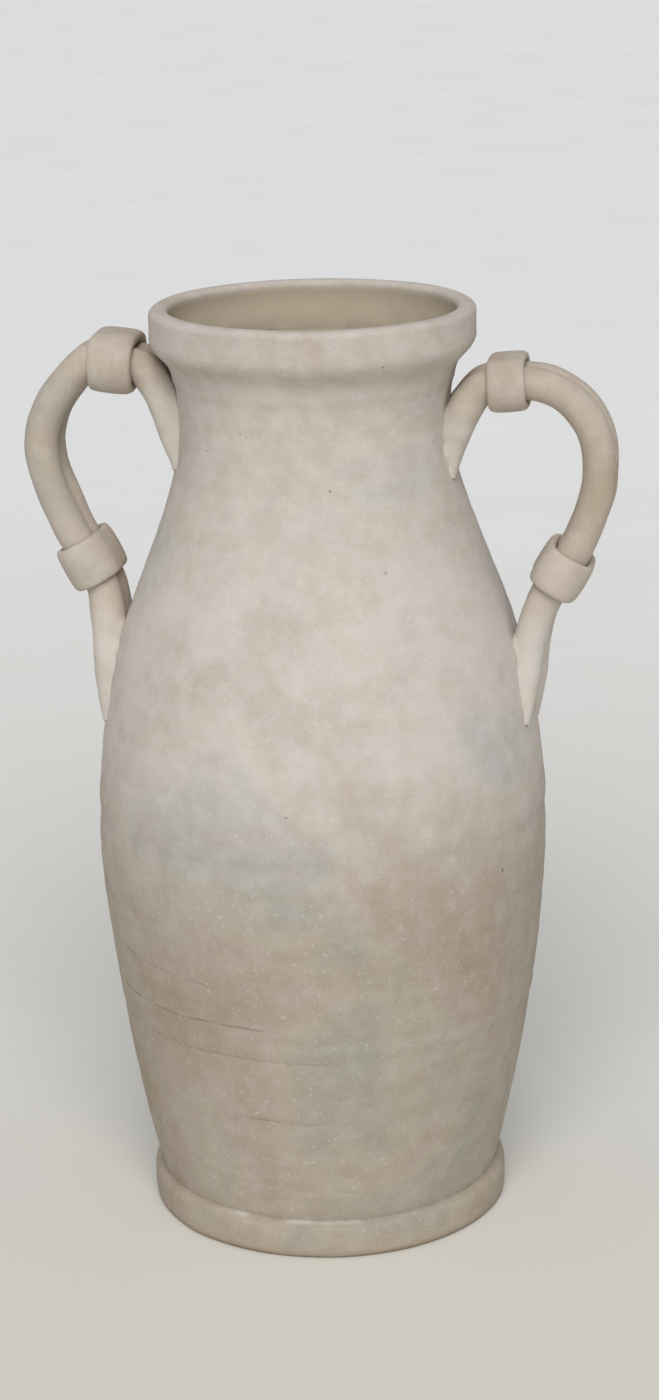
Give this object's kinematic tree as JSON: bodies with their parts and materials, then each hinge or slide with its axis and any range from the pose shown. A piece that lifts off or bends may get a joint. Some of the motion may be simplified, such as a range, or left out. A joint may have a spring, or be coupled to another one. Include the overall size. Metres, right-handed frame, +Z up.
{
  "type": "vase",
  "caption": "tall ceramic vase with a swelling body, narrow neck, thick rim collar and looped handles of paired clay coils bound by bands",
  "frame": {"origin": "centre of the base, on the surface that the vase stands on", "axes": "+Z up the vessel's axis; +X towards the right handle, so both handles lie along X; -Y is the front"},
  "size_m": [0.3526, 0.2718, 0.56],
  "materials": {
    "foot_clay": "matt slip wash, worn darker along the lower arris",
    "body_clay": "matt chalky slip wash, softly mottled, with small pits",
    "collar_clay": "matt chalky slip wash with finger dents inside the lip",
    "coil_clay": "matt, rolled by hand, slightly lumpy",
    "band_clay": "matt, pressed flat, with soft edges"
  },
  "bodies": {
    "root": {"foot_ring": "foot_clay", "lower_body": "body_clay", "upper_body": "body_clay", "rim_collar": "collar_clay", "right_front_coil": "coil_clay", "right_back_coil": "coil_clay", "right_upper_band": "band_clay", "right_lower_band": "band_clay", "left_front_coil": "coil_clay", "left_back_coil": "coil_clay", "left_upper_band": "band_clay", "left_lower_band": "band_clay"}
  },
  "joints": []
}
